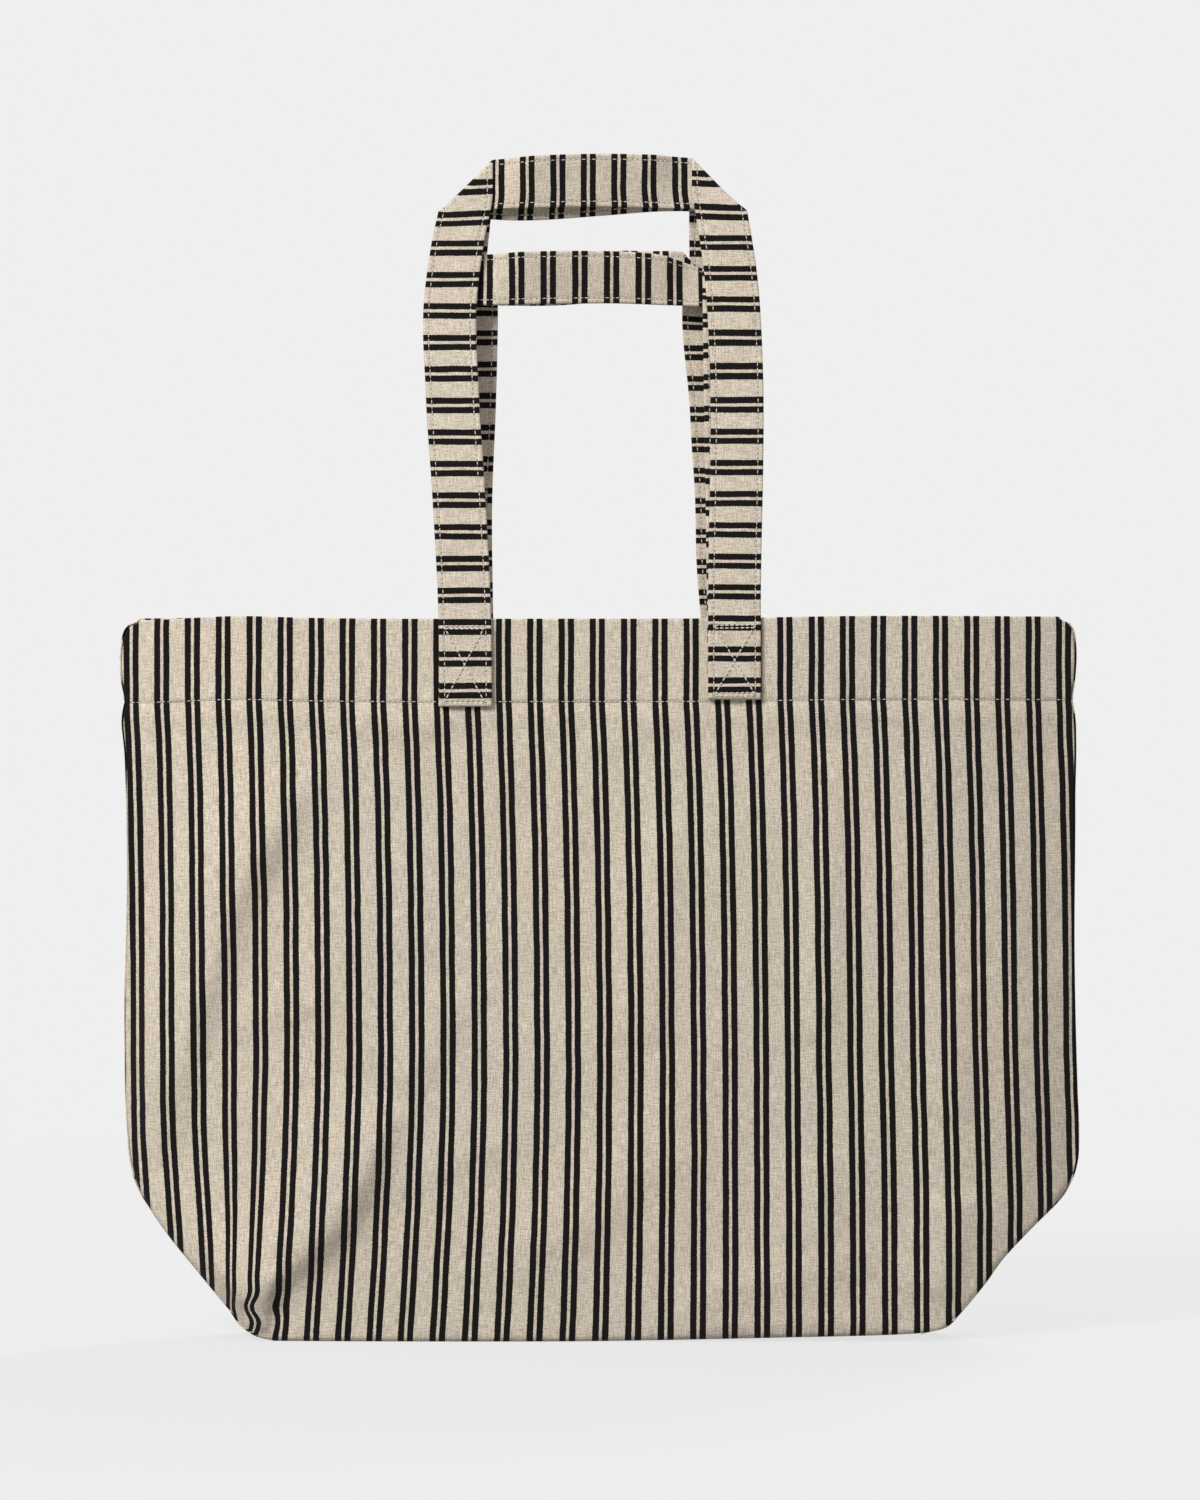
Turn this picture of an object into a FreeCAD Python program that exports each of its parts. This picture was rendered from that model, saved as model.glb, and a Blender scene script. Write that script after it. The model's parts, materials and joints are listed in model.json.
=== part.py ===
"""Large striped canvas tote bag with four sewn handles, standing upright, in millimetres.

The bag's front faces -Y, +X is its right side as seen from the front and +Z is up. The
origin is on the floor under the bag's middle. The body is two canvas panels joined by side
seams, a base seam and two corner seams, so the base is boxed. The base is folded up between
the walls and the four corner folds lie inside the slanted lower corners. Two handles, a long
one sewn over a short one, share two feet on the front, and two more share two on the back.
"""

import FreeCAD, Part
import math
import os

from FreeCAD import Vector

# ---- driving dimensions -------------------------------------------------------------
HALF_WIDTH = 309.0          # middle of the bag to a side edge
RIM_HEIGHT = 470.0          # floor to the rim
RIM_HALF_DEPTH = 22.0       # how far the mouth stands open, middle plane to cloth
BASE_HALF_DEPTH = 30.0      # the same at the floor
RIM_FULLNESS = 3.5          # exponent of the rim's plan curve: higher is squarer
BASE_FULLNESS = 8.0         # exponent of the plan curve at the floor
CANVAS = 1.0                # thickness of one layer of cloth

CORNER_RUN = 83.0           # width of each slanted lower corner
CORNER_RISE = 98.0          # height of each slanted lower corner
RIM_CORNER = 8.0            # radius of the hem's upper corners

BASE_HALF_CLOTH = 85.0      # cloth from a bottom edge to the base seam
FLOOR_STRIP = 10.0          # the part of it that lies flat on the floor
SEAM_ALLOWANCE = 10.0
HEM_DEPTH = 53.0            # rim to the turned-in hem's lower edge
HEM_STITCH_DROP = 52.0      # rim to the hem's row of stitches
HEM_END_INSET = 6.0         # side edge to the ends of the hem's facing and stitches
SIDE_SEAM_INSET = 2.0       # side edge to the seam's outer edge
SIDE_SEAM_RISE = 4.0        # top of a slanted corner to the side seam's lower end
SIDE_SEAM_DROP = 1.0        # lower edge of the hem's facing to the side seam's upper end
BASE_SEAM_GAP = 2.0         # corner seam to the base seam's end

STRAP_WIDTH = 34.0
STRAP = 2.2                 # thickness of a strap, four layers of cloth
STRAP_LAYER_GAP = 0.6       # air between the long and the short strap above the rim
FOOT_LEFT = -88.0           # middle of the left pair of sewn feet
FOOT_RIGHT = 87.5
FOOT_BOTTOM = 414.0         # height of the feet's lower ends
EDGE_STITCH_INSET = 3.5     # strap edge to its row of stitches
THREAD = 0.6                # width of a row of stitches
THREAD_PROUD = 0.3          # height of a row of stitches above the cloth
THREAD_CLEARANCE = 1.0      # edge of a strap to the end of a row that stops beside it
HANDLE_GAP = 0.8            # rim to the lower end of the moving part of a strap
HANDLE_MEETING = 6.0        # middle plane to the outer face of a long handle's top

HEM_END = HALF_WIDTH - HEM_END_INSET
FRONT = -1
BACK = 1

# Middle line of each handle's legs as (x, z) from the rim up; the last height is the crown's.
HANDLES = {
    "front_long": (FRONT, 0, [(-88, 470), (-92, 547), (-98, 677), (-88, 752)],
                   [(87.5, 470), (88, 660), (76, 752)]),
    "front_short": (FRONT, 1, [(-88, 470), (-92, 547), (-95, 690)],
                    [(87.5, 470), (85, 690)]),
    "back_long": (BACK, 0, [(-88, 470), (-88, 748)],
                  [(87.5, 470), (78, 612), (75, 748)]),
    "back_short": (BACK, 1, [(-88, 470), (-84, 692)],
                   [(87.5, 470), (78, 579), (71, 692)]),
}

FEET = {"left": FOOT_LEFT, "right": FOOT_RIGHT}
SIDES = {"front": FRONT, "back": BACK}


# ---- helpers ------------------------------------------------------------------------
def plan_curve(side, height, offset):
    """The cloth's inner surface at a height, moved outward by offset, as points."""
    depth = BASE_HALF_DEPTH if height == 0 else RIM_HALF_DEPTH
    power = BASE_FULLNESS if height == 0 else RIM_FULLNESS
    steps = 20
    points = []
    for i in range(steps + 1):
        x = -HALF_WIDTH * math.cos(math.pi * i / steps)
        bulge = depth * (1 - abs(x / HALF_WIDTH) ** power)
        points.append(Vector(x, side * (bulge + offset), height))
    return points


def spline(points):
    curve = Part.BSplineCurve()
    curve.interpolate(points)
    return curve.toShape()


def shell(side, near, far):
    """A full-size sheet that follows one wall, between two distances outside its inner face."""
    wires = []
    for height in (0, RIM_HEIGHT):
        outer = plan_curve(side, height, far)
        inner = plan_curve(side, height, near)
        edges = [
            spline(outer),
            Part.makeLine(outer[-1], inner[-1]),
            spline(inner),
            Part.makeLine(inner[0], outer[0]),
        ]
        wires.append(Part.Wire(Part.__sortEdges__(edges)))
    return Part.makeLoft(wires, True, True)


def room(side):
    """The space between the middle plane and the inner face of one wall."""
    wires = []
    for height in (0, RIM_HEIGHT):
        inner = plan_curve(side, height, 0)
        edges = [spline(inner), Part.makeLine(inner[-1], inner[0])]
        wires.append(Part.Wire(Part.__sortEdges__(edges)))
    return Part.makeLoft(wires, True, True)


def prism(outline, near=-100.0, far=100.0):
    """A polygon given in x and z, extruded along y from near to far."""
    points = [Vector(x, near, z) for x, z in outline]
    face = Part.Face(Part.makePolygon(points + points[:1]))
    return face.extrude(Vector(0, far - near, 0))


def box_between(x, z):
    """A deep rectangular prism over a range of x and a range of z."""
    return prism([(x[0], z[0]), (x[1], z[0]), (x[1], z[1]), (x[0], z[1])])


def strip_along(middle_line, half_width):
    """The outline of a strip of even width about a line that runs roughly upward."""
    left = [(x - half_width, z) for x, z in middle_line]
    right = [(x + half_width, z) for x, z in reversed(middle_line)]
    return left + right


def diagonal_strip(start, end, width):
    """The outline of a straight strip between two points in x and z."""
    length = math.hypot(end[0] - start[0], end[1] - start[1])
    across_x = -(end[1] - start[1]) / length * width / 2
    across_z = (end[0] - start[0]) / length * width / 2
    return [
        (start[0] - across_x, start[1] - across_z),
        (end[0] - across_x, end[1] - across_z),
        (end[0] + across_x, end[1] + across_z),
        (start[0] + across_x, start[1] + across_z),
    ]


def export(name, shape):
    shape = shape.removeSplitter()
    if not shape.isValid() or shape.Volume <= 0:
        raise ValueError(name + " is not a valid solid")
    shape.exportStep("parts/" + name + ".step")


# ---- body ---------------------------------------------------------------------------
def wall_outline():
    """A wall seen from the front: straight sides, slanted lower and rounded upper corners."""
    steps = 4
    round_corner = []
    for i in range(steps + 1):
        angle = math.pi / 2 * i / steps
        round_corner.append((
            HALF_WIDTH - RIM_CORNER * (1 - math.sin(angle)),
            RIM_HEIGHT - RIM_CORNER * (1 - math.cos(angle)),
        ))
    right = [(HALF_WIDTH - CORNER_RUN, 0), (HALF_WIDTH, CORNER_RISE)] + round_corner[::-1]
    left = [(-x, z) for x, z in reversed(right)]
    return right + left


def walls():
    for name, side in SIDES.items():
        export(name + "_panel", shell(side, 0, CANVAS).common(prism(wall_outline())))


def hem_facings():
    """The turned-in layer of each hem, against the inside of its wall."""
    band = box_between((-HEM_END, HEM_END), (RIM_HEIGHT - HEM_DEPTH, RIM_HEIGHT))
    for name, side in SIDES.items():
        facing = shell(side, -CANVAS, 0).common(band).common(room(side))
        export(name + "_hem_facing", facing)


def hem_stitching():
    """Each hem's row of stitches, broken where the feet cover it."""
    low = RIM_HEIGHT - HEM_STITCH_DROP
    clear = STRAP_WIDTH / 2 + THREAD_CLEARANCE
    spans = [
        (-HEM_END, FOOT_LEFT - clear),
        (FOOT_LEFT + clear, FOOT_RIGHT - clear),
        (FOOT_RIGHT + clear, HEM_END),
    ]
    for name, side in SIDES.items():
        sheet = shell(side, CANVAS, CANVAS + THREAD_PROUD)
        rows = [sheet.common(box_between(span, (low, low + THREAD))) for span in spans]
        export(name + "_hem_stitching", Part.makeCompound(rows))


def base_profile(near, far):
    """Section of the front half of the base, between two distances above its lower face."""
    ridge = ridge_height()
    foot = -BASE_HALF_DEPTH + FLOOR_STRIP
    slope = math.atan2(ridge, -foot)
    shift = math.tan(slope / 2)
    points = []
    for distance in (near, far):
        rise = distance / math.cos(slope)
        line = [
            (-BASE_HALF_DEPTH, distance),
            (foot - distance * shift, distance),
            (0, ridge + rise),
        ]
        points += line if distance == near else line[::-1]
    return points


def ridge_height():
    """Height of the base's middle fold: the sloping cloth reaches the middle plane there."""
    run = BASE_HALF_DEPTH - FLOOR_STRIP
    return math.sqrt((BASE_HALF_CLOTH - FLOOR_STRIP) ** 2 - run ** 2)


def base_layer(side, near, far, x_from, x_to):
    """A layer of one half of the base over a range of x, trimmed by the wall."""
    points = [Vector(x_from, -side * y, z) for y, z in base_profile(near, far)]
    face = Part.Face(Part.makePolygon(points + points[:1]))
    return face.extrude(Vector(x_to - x_from, 0, 0)).common(room(side))


def base():
    end = HALF_WIDTH - CORNER_RUN
    for name, side in SIDES.items():
        export(name + "_base_half", base_layer(side, 0, CANVAS, -end, end))
    slope = math.atan2(ridge_height(), BASE_HALF_DEPTH - FLOOR_STRIP)
    top = ridge_height() + CANVAS / math.cos(slope)
    half_length = end - SEAM_ALLOWANCE - BASE_SEAM_GAP
    seam = box_between((-half_length, half_length), (top, top + SEAM_ALLOWANCE))
    slab = Part.makeBox(2 * HALF_WIDTH, 2 * CANVAS, RIM_HEIGHT, Vector(-HALF_WIDTH, -CANVAS, 0))
    export("base_seam", seam.common(slab))


def corner_folds():
    """The four triangles folded in at the slanted corners, and the corner seams."""
    inner_x = HALF_WIDTH - CORNER_RUN
    ridge = ridge_height()
    for x_name, x_side in (("left", -1), ("right", 1)):
        seams = []
        for name, side in SIDES.items():
            a = Vector(x_side * inner_x, side * BASE_HALF_DEPTH, 0)
            q = Vector(x_side * inner_x, 0, ridge)
            r = Vector(x_side * HALF_WIDTH, 0, CORNER_RISE)
            normal = (q - a).cross(r - a)
            normal.normalize()
            if normal.z < 0:
                normal = -normal
            face = Part.Face(Part.makePolygon([a, q, r, a]))
            fold = face.extrude(normal * CANVAS)
            corner = Vector(inner_x, -2 * BASE_HALF_DEPTH, 0)
            keep = Part.makeBox(CORNER_RUN, 4 * BASE_HALF_DEPTH, RIM_HEIGHT, corner)
            if x_side < 0:
                keep = keep.mirror(Vector(0, 0, 0), Vector(1, 0, 0))
            export(x_name + "_" + name + "_corner_fold", fold.common(room(side)).common(keep))
            seam_from = x_side * (inner_x - SEAM_ALLOWANCE)
            seams.append(base_layer(side, CANVAS, 3 * CANVAS, seam_from, x_side * inner_x))
        export(x_name + "_corner_seam", seams[0].fuse(seams[1]))


def side_seams():
    """The sewn edges of both panels, flat between the walls at each side."""
    outer = HALF_WIDTH - SIDE_SEAM_INSET
    z_range = (CORNER_RISE + SIDE_SEAM_RISE, RIM_HEIGHT - HEM_DEPTH - SIDE_SEAM_DROP)
    depth = room(FRONT).fuse(room(BACK))
    for name, x_side in (("left", -1), ("right", 1)):
        x_range = sorted((x_side * outer, x_side * (outer - SEAM_ALLOWANCE)))
        seam = box_between(x_range, z_range)
        slab = Part.makeBox(2 * HALF_WIDTH, 2 * CANVAS, RIM_HEIGHT, Vector(-HALF_WIDTH, -CANVAS, 0))
        export(name + "_side_seam", seam.common(slab).common(depth))


# ---- handles ------------------------------------------------------------------------
def feet():
    """The sewn ends: on each side a short strap's foot lies under a long strap's foot."""
    half = STRAP_WIDTH / 2
    for name, side in SIDES.items():
        for x_name, x in FEET.items():
            outline = box_between((x - half, x + half), (FOOT_BOTTOM, RIM_HEIGHT))
            for layer, kind in ((0, "short"), (1, "long")):
                near = CANVAS + layer * STRAP
                foot = shell(side, near, near + STRAP).common(outline)
                export("_".join((name, kind, x_name, "foot")), foot)
            top = CANVAS + 2 * STRAP
            sheet = shell(side, top, top + THREAD_PROUD)
            export("_".join((name, x_name, "box_stitch")), sheet.common(box_stitch(x)))


def box_stitch(x):
    """A stitched rectangle with a cross inside it, over one foot."""
    low = FOOT_BOTTOM + EDGE_STITCH_INSET
    high = RIM_HEIGHT - EDGE_STITCH_INSET
    left = x - STRAP_WIDTH / 2 + EDGE_STITCH_INSET
    right = x + STRAP_WIDTH / 2 - EDGE_STITCH_INSET
    corners = [(left, low), (right, low), (right, high), (left, high)]
    rows = [(corners[i], corners[(i + 1) % 4]) for i in range(4)]
    rows += [(corners[0], corners[2]), (corners[1], corners[3])]
    strips = [prism(diagonal_strip(start, end, THREAD)) for start, end in rows]
    return strips[0].multiFuse(strips[1:])


def hinge_depth():
    """Middle plane to the bend line of the handles, on the long strap's outer face."""
    return RIM_HALF_DEPTH + CANVAS + 2 * STRAP


def placed(shape, side):
    """Moves a flat handle shape, made for the front with its outer face at y 0, into place."""
    height = max(leg[-1][1] for _, _, leg, _ in HANDLES.values()) + STRAP_WIDTH / 2 - RIM_HEIGHT
    lean = math.degrees(math.asin((hinge_depth() - HANDLE_MEETING) / height))
    shape = shape.copy()
    shape.rotate(Vector(0, 0, RIM_HEIGHT), Vector(1, 0, 0), -lean)
    shape.translate(Vector(0, -hinge_depth(), HANDLE_GAP))
    return shape if side == FRONT else shape.mirror(Vector(0, 0, 0), Vector(0, 1, 0))


def leg_outline(leg, mirror):
    """One leg from the rim to its 45 degree fold, whose outer upper corner is folded away."""
    outline = strip_along(leg, STRAP_WIDTH / 2)
    top_left, top_right = len(leg) - 1, len(leg)
    outer, inner = (top_right, top_left) if mirror else (top_left, top_right)
    half = STRAP_WIDTH / 2
    outline[outer] = (outline[outer][0], outline[outer][1] - half)
    outline[inner] = (outline[inner][0], outline[inner][1] + half)
    return outline


def handle(name, side, layer, left, right):
    """A strap with its legs outside and its crown inside, and the rows of stitches on it."""
    near = layer * (STRAP + STRAP_LAYER_GAP)
    crown = left[-1][1]
    half = STRAP_WIDTH / 2
    left_x, right_x = left[-1][0], right[-1][0]
    legs = [leg_outline(left, False), leg_outline(right, True)]
    band = [
        (left_x - half, crown - half),
        (left_x + half, crown + half),
        (right_x - half, crown + half),
        (right_x + half, crown - half),
    ]
    solids = [prism(outline, near, near + STRAP) for outline in legs]
    solids.append(prism(band, near + STRAP, near + 2 * STRAP))
    strap = solids[0].multiFuse(solids[1:])
    export(name + "_strap", placed(strap, side))

    inset = half - EDGE_STITCH_INSET
    rows = []
    for leg, outline in ((left, legs[0]), (right, legs[1])):
        cloth = prism(outline, near - THREAD_PROUD, near)
        for offset in (-inset, inset):
            line = [(x + offset, z) for x, z in leg]
            line[-1] = (line[-1][0], crown + half)
            rows.append(prism(strip_along(line, THREAD / 2), near - THREAD_PROUD, near).common(cloth))
    for offset in (-inset, inset):
        reach = half + THREAD_CLEARANCE
        ends = (left_x + reach, crown + offset), (right_x - reach, crown + offset)
        front_face = near + STRAP
        rows.append(prism(diagonal_strip(*ends, THREAD), front_face - THREAD_PROUD, front_face))
    export(name + "_edge_stitching", placed(Part.makeCompound(rows), side))


# ---- build --------------------------------------------------------------------------
os.makedirs("parts", exist_ok=True)
walls()
hem_facings()
hem_stitching()
base()
corner_folds()
side_seams()
feet()
for handle_name, (side, layer, left_leg, right_leg) in HANDLES.items():
    handle(handle_name, side, layer, left_leg, right_leg)
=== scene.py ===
import json
import math

import bpy
import numpy as np
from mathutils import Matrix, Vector

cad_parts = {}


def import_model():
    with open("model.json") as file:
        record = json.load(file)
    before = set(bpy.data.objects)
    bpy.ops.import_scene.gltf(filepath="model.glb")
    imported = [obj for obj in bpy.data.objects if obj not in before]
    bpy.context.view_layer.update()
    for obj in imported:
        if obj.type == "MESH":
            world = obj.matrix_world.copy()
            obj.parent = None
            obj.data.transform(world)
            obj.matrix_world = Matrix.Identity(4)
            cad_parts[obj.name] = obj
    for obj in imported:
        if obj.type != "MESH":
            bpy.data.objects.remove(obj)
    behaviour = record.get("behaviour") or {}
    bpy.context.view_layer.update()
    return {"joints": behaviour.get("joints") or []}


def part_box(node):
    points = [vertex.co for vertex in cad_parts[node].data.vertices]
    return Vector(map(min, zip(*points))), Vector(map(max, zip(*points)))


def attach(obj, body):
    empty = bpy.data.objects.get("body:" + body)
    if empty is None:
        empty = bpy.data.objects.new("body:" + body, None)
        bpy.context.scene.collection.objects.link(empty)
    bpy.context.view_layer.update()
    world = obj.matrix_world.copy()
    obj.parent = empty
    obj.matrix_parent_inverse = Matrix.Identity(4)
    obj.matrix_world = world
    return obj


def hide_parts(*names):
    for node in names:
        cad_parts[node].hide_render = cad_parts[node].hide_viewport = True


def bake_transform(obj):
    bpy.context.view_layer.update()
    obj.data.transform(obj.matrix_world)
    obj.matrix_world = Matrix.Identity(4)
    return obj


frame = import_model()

# Lengths are in millimetres until a mesh is made. x and z are as seen from the front, and
# depth is the distance outward from the bag's middle plane: -Y on the front, +Y on the back.
MM = 0.001
PANEL_LOW, PANEL_HIGH = (np.array(corner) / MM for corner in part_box("front_panel"))
HALF_WIDTH = PANEL_HIGH[0]
RIM = PANEL_HIGH[2]
CANVAS = 1.0                 # the CAD wall's thickness
CLOTH = 0.9                  # the shown cloth's thickness
BASE_DEPTH = -PANEL_LOW[1] - CANVAS
RIM_DEPTH = 22.0             # middle plane to the cloth at the mouth
RIM_FULLNESS, BASE_FULLNESS = 3.5, 8.0    # exponents of the CAD wall's plan curves
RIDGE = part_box("front_base_half")[1].z / MM
BASE_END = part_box("front_base_half")[1].x / MM
CORNER_RUN, CORNER_RISE = 83.0, 98.0
HINGE = np.array(frame["joints"][0]["pos_m"]) / MM
HANDLE_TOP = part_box("front_long_strap")[1].z / MM
HANDLE_MEETING = 6.0         # middle plane to the handles' outer faces at the crown
LEAN = (abs(HINGE[1]) - HANDLE_MEETING) / (HANDLE_TOP - RIM)

FRONT, BACK = -1, 1
SIDES = {"front": FRONT, "back": BACK}
ENDS = {"left": -1, "right": 1}

STRIPE_PERIOD = 20.33
STRIPE_FIRST = -286.3        # middle of a stripe pair on the front hem
FACING = 53.0                # depth of the hem's turned-in layer
HEM_STITCH = RIM - FACING
STRAP_WIDTH = 34.0
STRAP = 2.2                  # thickness of one folded strap
FEET = {"left": (-88.0, 412.5), "right": (87.5, 417.0)}    # middle and lower end of each foot


# ---- small numeric helpers ----------------------------------------------------------
def smooth(t):
    """0 below 0, 1 above 1 and an easy slope between them."""
    t = np.clip(t, 0.0, 1.0)
    return t * t * (3 - 2 * t)


def through(points, x):
    """A smooth curve through a few (x, y) points, level outside them."""
    xs, ys = (np.array(column, float) for column in zip(*points))
    slopes = np.gradient(ys, xs)
    slopes[0] = slopes[-1] = 0.0
    x = np.clip(x, xs[0], xs[-1])
    i = np.clip(np.searchsorted(xs, x) - 1, 0, len(xs) - 2)
    span = xs[i + 1] - xs[i]
    t = (x - xs[i]) / span
    start = (1 + 2 * t) * (1 - t) ** 2 * ys[i] + t * (1 - t) ** 2 * span * slopes[i]
    end = t * t * (3 - 2 * t) * ys[i + 1] + t * t * (t - 1) * span * slopes[i + 1]
    return start + end


def value_noise(x, z, cell_x, cell_z, seed):
    """Smooth noise from -1 to 1 with the given cell size."""
    lattice = np.random.default_rng(seed).uniform(-1, 1, (64, 64))
    u, v = np.asarray(x) / cell_x + 500.0, np.asarray(z) / cell_z + 500.0
    iu, iv = np.floor(u).astype(int), np.floor(v).astype(int)
    fu, fv = smooth(u - iu), smooth(v - iv)
    next_u, next_v = (iu + 1) % 64, (iv + 1) % 64
    iu, iv = iu % 64, iv % 64
    low = lattice[iu, iv] * (1 - fu) + lattice[next_u, iv] * fu
    high = lattice[iu, next_v] * (1 - fu) + lattice[next_u, next_v] * fu
    return low * (1 - fv) + high * fv


def bell(d, width):
    """1 at zero distance, falling smoothly to nothing past the width."""
    return np.exp(-(d / width) ** 2)


def ridge_along(x, z, line, height, gentle, steep):
    """A soft ridge whose steep side falls to the right along a line given from top to bottom."""
    knots = np.array(line, float)
    steps = np.linspace(0, len(knots) - 1, 8 * (len(knots) - 1) + 1)
    px, pz = (through(list(zip(range(len(knots)), knots[:, k])), steps) for k in (0, 1))
    best = np.full(np.shape(x), 1e9)
    signed, along = np.zeros_like(best), np.zeros_like(best)
    for k in range(len(px) - 1):
        dx, dz = px[k + 1] - px[k], pz[k + 1] - pz[k]
        length = math.hypot(dx, dz)
        t = np.clip(((x - px[k]) * dx + (z - pz[k]) * dz) / length**2, 0, 1)
        rx, rz = x - px[k] - t * dx, z - pz[k] - t * dz
        distance = np.hypot(rx, rz)
        nearer = distance < best
        best = np.where(nearer, distance, best)
        signed = np.where(nearer, distance * np.sign(dx * rz - dz * rx), signed)
        along = np.where(nearer, (k + t) / (len(px) - 1), along)
    fade = smooth(along / 0.22) * smooth((1 - along) / 0.22)
    from_crest = signed + 0.7 * steep
    return height * fade * bell(from_crest, np.where(from_crest < 0, gentle, steep))


# ---- the shape of the walls ---------------------------------------------------------
# Outlines of the front as seen, as (z, x).
LEFT_EDGE = [
    (0, -212), (2, -221), (4, -226), (6, -229), (10, -234), (17, -239), (33, -252.5), (49, -266),
    (66, -280.5), (82, -292.5), (98, -301.5), (114, -306), (131, -308), (200, -310),
    (310, -308.5), (380, -310), (407, -311.5), (418, -310), (430, -312), (455, -312),
    (462, -310.5), (467, -307), (470, -301),
]
RIGHT_EDGE = [
    (0, 212), (1.5, 221), (4, 227), (8, 231), (13, 235.5), (30, 249.5), (49, 263),
    (66, 278.5), (82, 294), (98, 306), (114, 311.5), (131, 312.5), (160, 311.5),
    (250, 309.5), (350, 310), (407, 309.5), (418, 308), (430, 309.5), (455, 310),
    (462, 309), (467, 306), (470, 300),
]
BOTTOM_LIFT = [(-230, 0.6), (0, 0.6), (115, 2.8), (195, 4.8), (230, 6.5)]
RIM_WAVE = [(-300, -2.2), (-234, 0.2), (-195, -0.9), (-20, -1.7), (60, -1.6), (175, 0.2), (300, 0.2)]

# Creases of each wall: line from top to bottom, height, gentle width, steep width.
CREASES = {
    FRONT: [
        ([(-178, 376), (-207, 324), (-232, 282), (-249, 232), (-268, 172), (-280, 110)], 9.5, 38, 15),
        ([(-126, 154), (-141, 124), (-151, 98), (-169, 70), (-200, 43), (-228, 22), (-258, -6)],
         12.0, 34, 13),
        ([(-46, 130), (-96, 110), (-146, 86)], 1.8, 22, 13),
        ([(80, 116), (24, 98), (2, 70), (-28, 56), (-60, 26)], 3.0, 28, 17),
        ([(182, 42), (108, 28), (56, 14)], 2.0, 18, 12),
        ([(-78, 232), (-96, 188), (-126, 158)], 2.2, 22, 13),
        ([(-172, 214), (-206, 208), (-242, 196)], 1.4, 16, 10),
        ([(-88, 402), (-130, 392), (-165, 396)], 2.0, 14, 9),
        ([(50, 398), (20, 384), (-12, 382)], 1.4, 14, 9),
        ([(52, 340), (44, 260), (42, 190)], 2.6, 22, 12),
        ([(160, 390), (158, 300), (149, 190)], 2.4, 22, 12),
        ([(150, 122), (152, 90), (146, 56)], 2.0, 20, 11),
        ([(240, 236), (242, 180), (236, 140)], 1.8, 22, 12),
        ([(240, 94), (236, 60), (226, 18)], 3.4, 22, 11),
        ([(-278, 468), (-288, 430), (-293, 365)], 2.6, 15, 9),
        ([(132, 468), (128, 450), (122, 424)], 1.4, 14, 9),
        ([(-206, 46), (-214, 27), (-217, 2)], 5.5, 9, 4),
    ],
    BACK: [
        ([(196, 340), (214, 290), (238, 236), (262, 170)], 4.6, 26, 10),
        ([(120, 130), (150, 104), (186, 60), (222, 18)], 7.0, 26, 13),
        ([(-110, 150), (-150, 110), (-190, 62), (-220, 20)], 6.0, 24, 12),
        ([(20, 200), (4, 130), (-10, 60)], 2.6, 22, 12),
        ([(-236, 330), (-250, 250), (-262, 190)], 2.8, 20, 10),
        ([(60, 392), (20, 384), (-30, 390)], 2.0, 13, 8),
    ],
}
WAVES = [(1.8, 62, 150), (0.8, 25, 38), (0.12, 9, 9)]    # height, cell width, cell height
NOISE_SEED = {FRONT: 11, BACK: 23}
SLACK = 18.0                 # how far folds that cross can lift a wall out together
HEM_STEP = 0.9               # how far the turned-in layer lifts the hem


def lens(x, z):
    """The CAD wall's plan curve: nearly straight at the floor, a slim lens at the rim."""
    r = np.clip(np.abs(x) / HALF_WIDTH, 0, 1)
    rim = RIM_DEPTH * (1 - r**RIM_FULLNESS)
    floor = BASE_DEPTH * (1 - r**BASE_FULLNESS)
    return floor + (rim - floor) * np.clip(z / RIM, 0, 1)


def near_feet(x, z):
    """1 over and around the sewn feet, where layers of strap keep the hem flat."""
    cover = np.zeros(np.shape(x))
    for foot_x, foot_z in FEET.values():
        beside = smooth((STRAP_WIDTH - np.abs(x - foot_x)) / (STRAP_WIDTH / 2))
        above = smooth((z - foot_z) / 22 + 1)
        cover = np.maximum(cover, beside * above)
    return cover


def edges(z, side=FRONT):
    """Left and right ends of a wall. The back panel shows a little past the front's side seams."""
    beyond = 0.0 if side == FRONT else 1.4
    return through(LEFT_EDGE, z) - beyond, through(RIGHT_EDGE, z) + beyond


def bottom_lift(side, x):
    """How far the bottom edge stands off the floor."""
    lift = through(BOTTOM_LIFT, x)
    return lift if side == FRONT else 0.4 * lift + 0.4


def folds(side, x, z):
    """How far the slack cloth stands out: creases along their lines, and waves of three sizes."""
    soft = np.zeros(np.shape(x))
    for line, height, gentle, steep in CREASES[side]:
        soft += ridge_along(x, z, line, height, gentle, steep)
    for k, (height, cell_x, cell_z) in enumerate(WAVES):
        soft += height * value_noise(x, z, cell_x, cell_z, NOISE_SEED[side] + k)
    return SLACK * np.tanh(soft / SLACK)


def hem_share(z):
    """0 below the hem's stitches and 1 above them."""
    return smooth((z - HEM_STITCH + 1.5) / 2.5)


def hem_relief(side, x, z):
    """The hem's second layer, the groove that its stitches pull, and the puckers around it."""
    above = z - HEM_STITCH
    pucker = 0.30 * value_noise(x, 0 * z, 4.6, 1, NOISE_SEED[side] + len(WAVES)) * bell(above, 9)
    groove = 0.55 * bell(above, 1.3)
    swell_below = 1.0 * bell(above + 10, 7)
    return HEM_STEP * hem_share(z) + pucker - groove + swell_below


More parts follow.
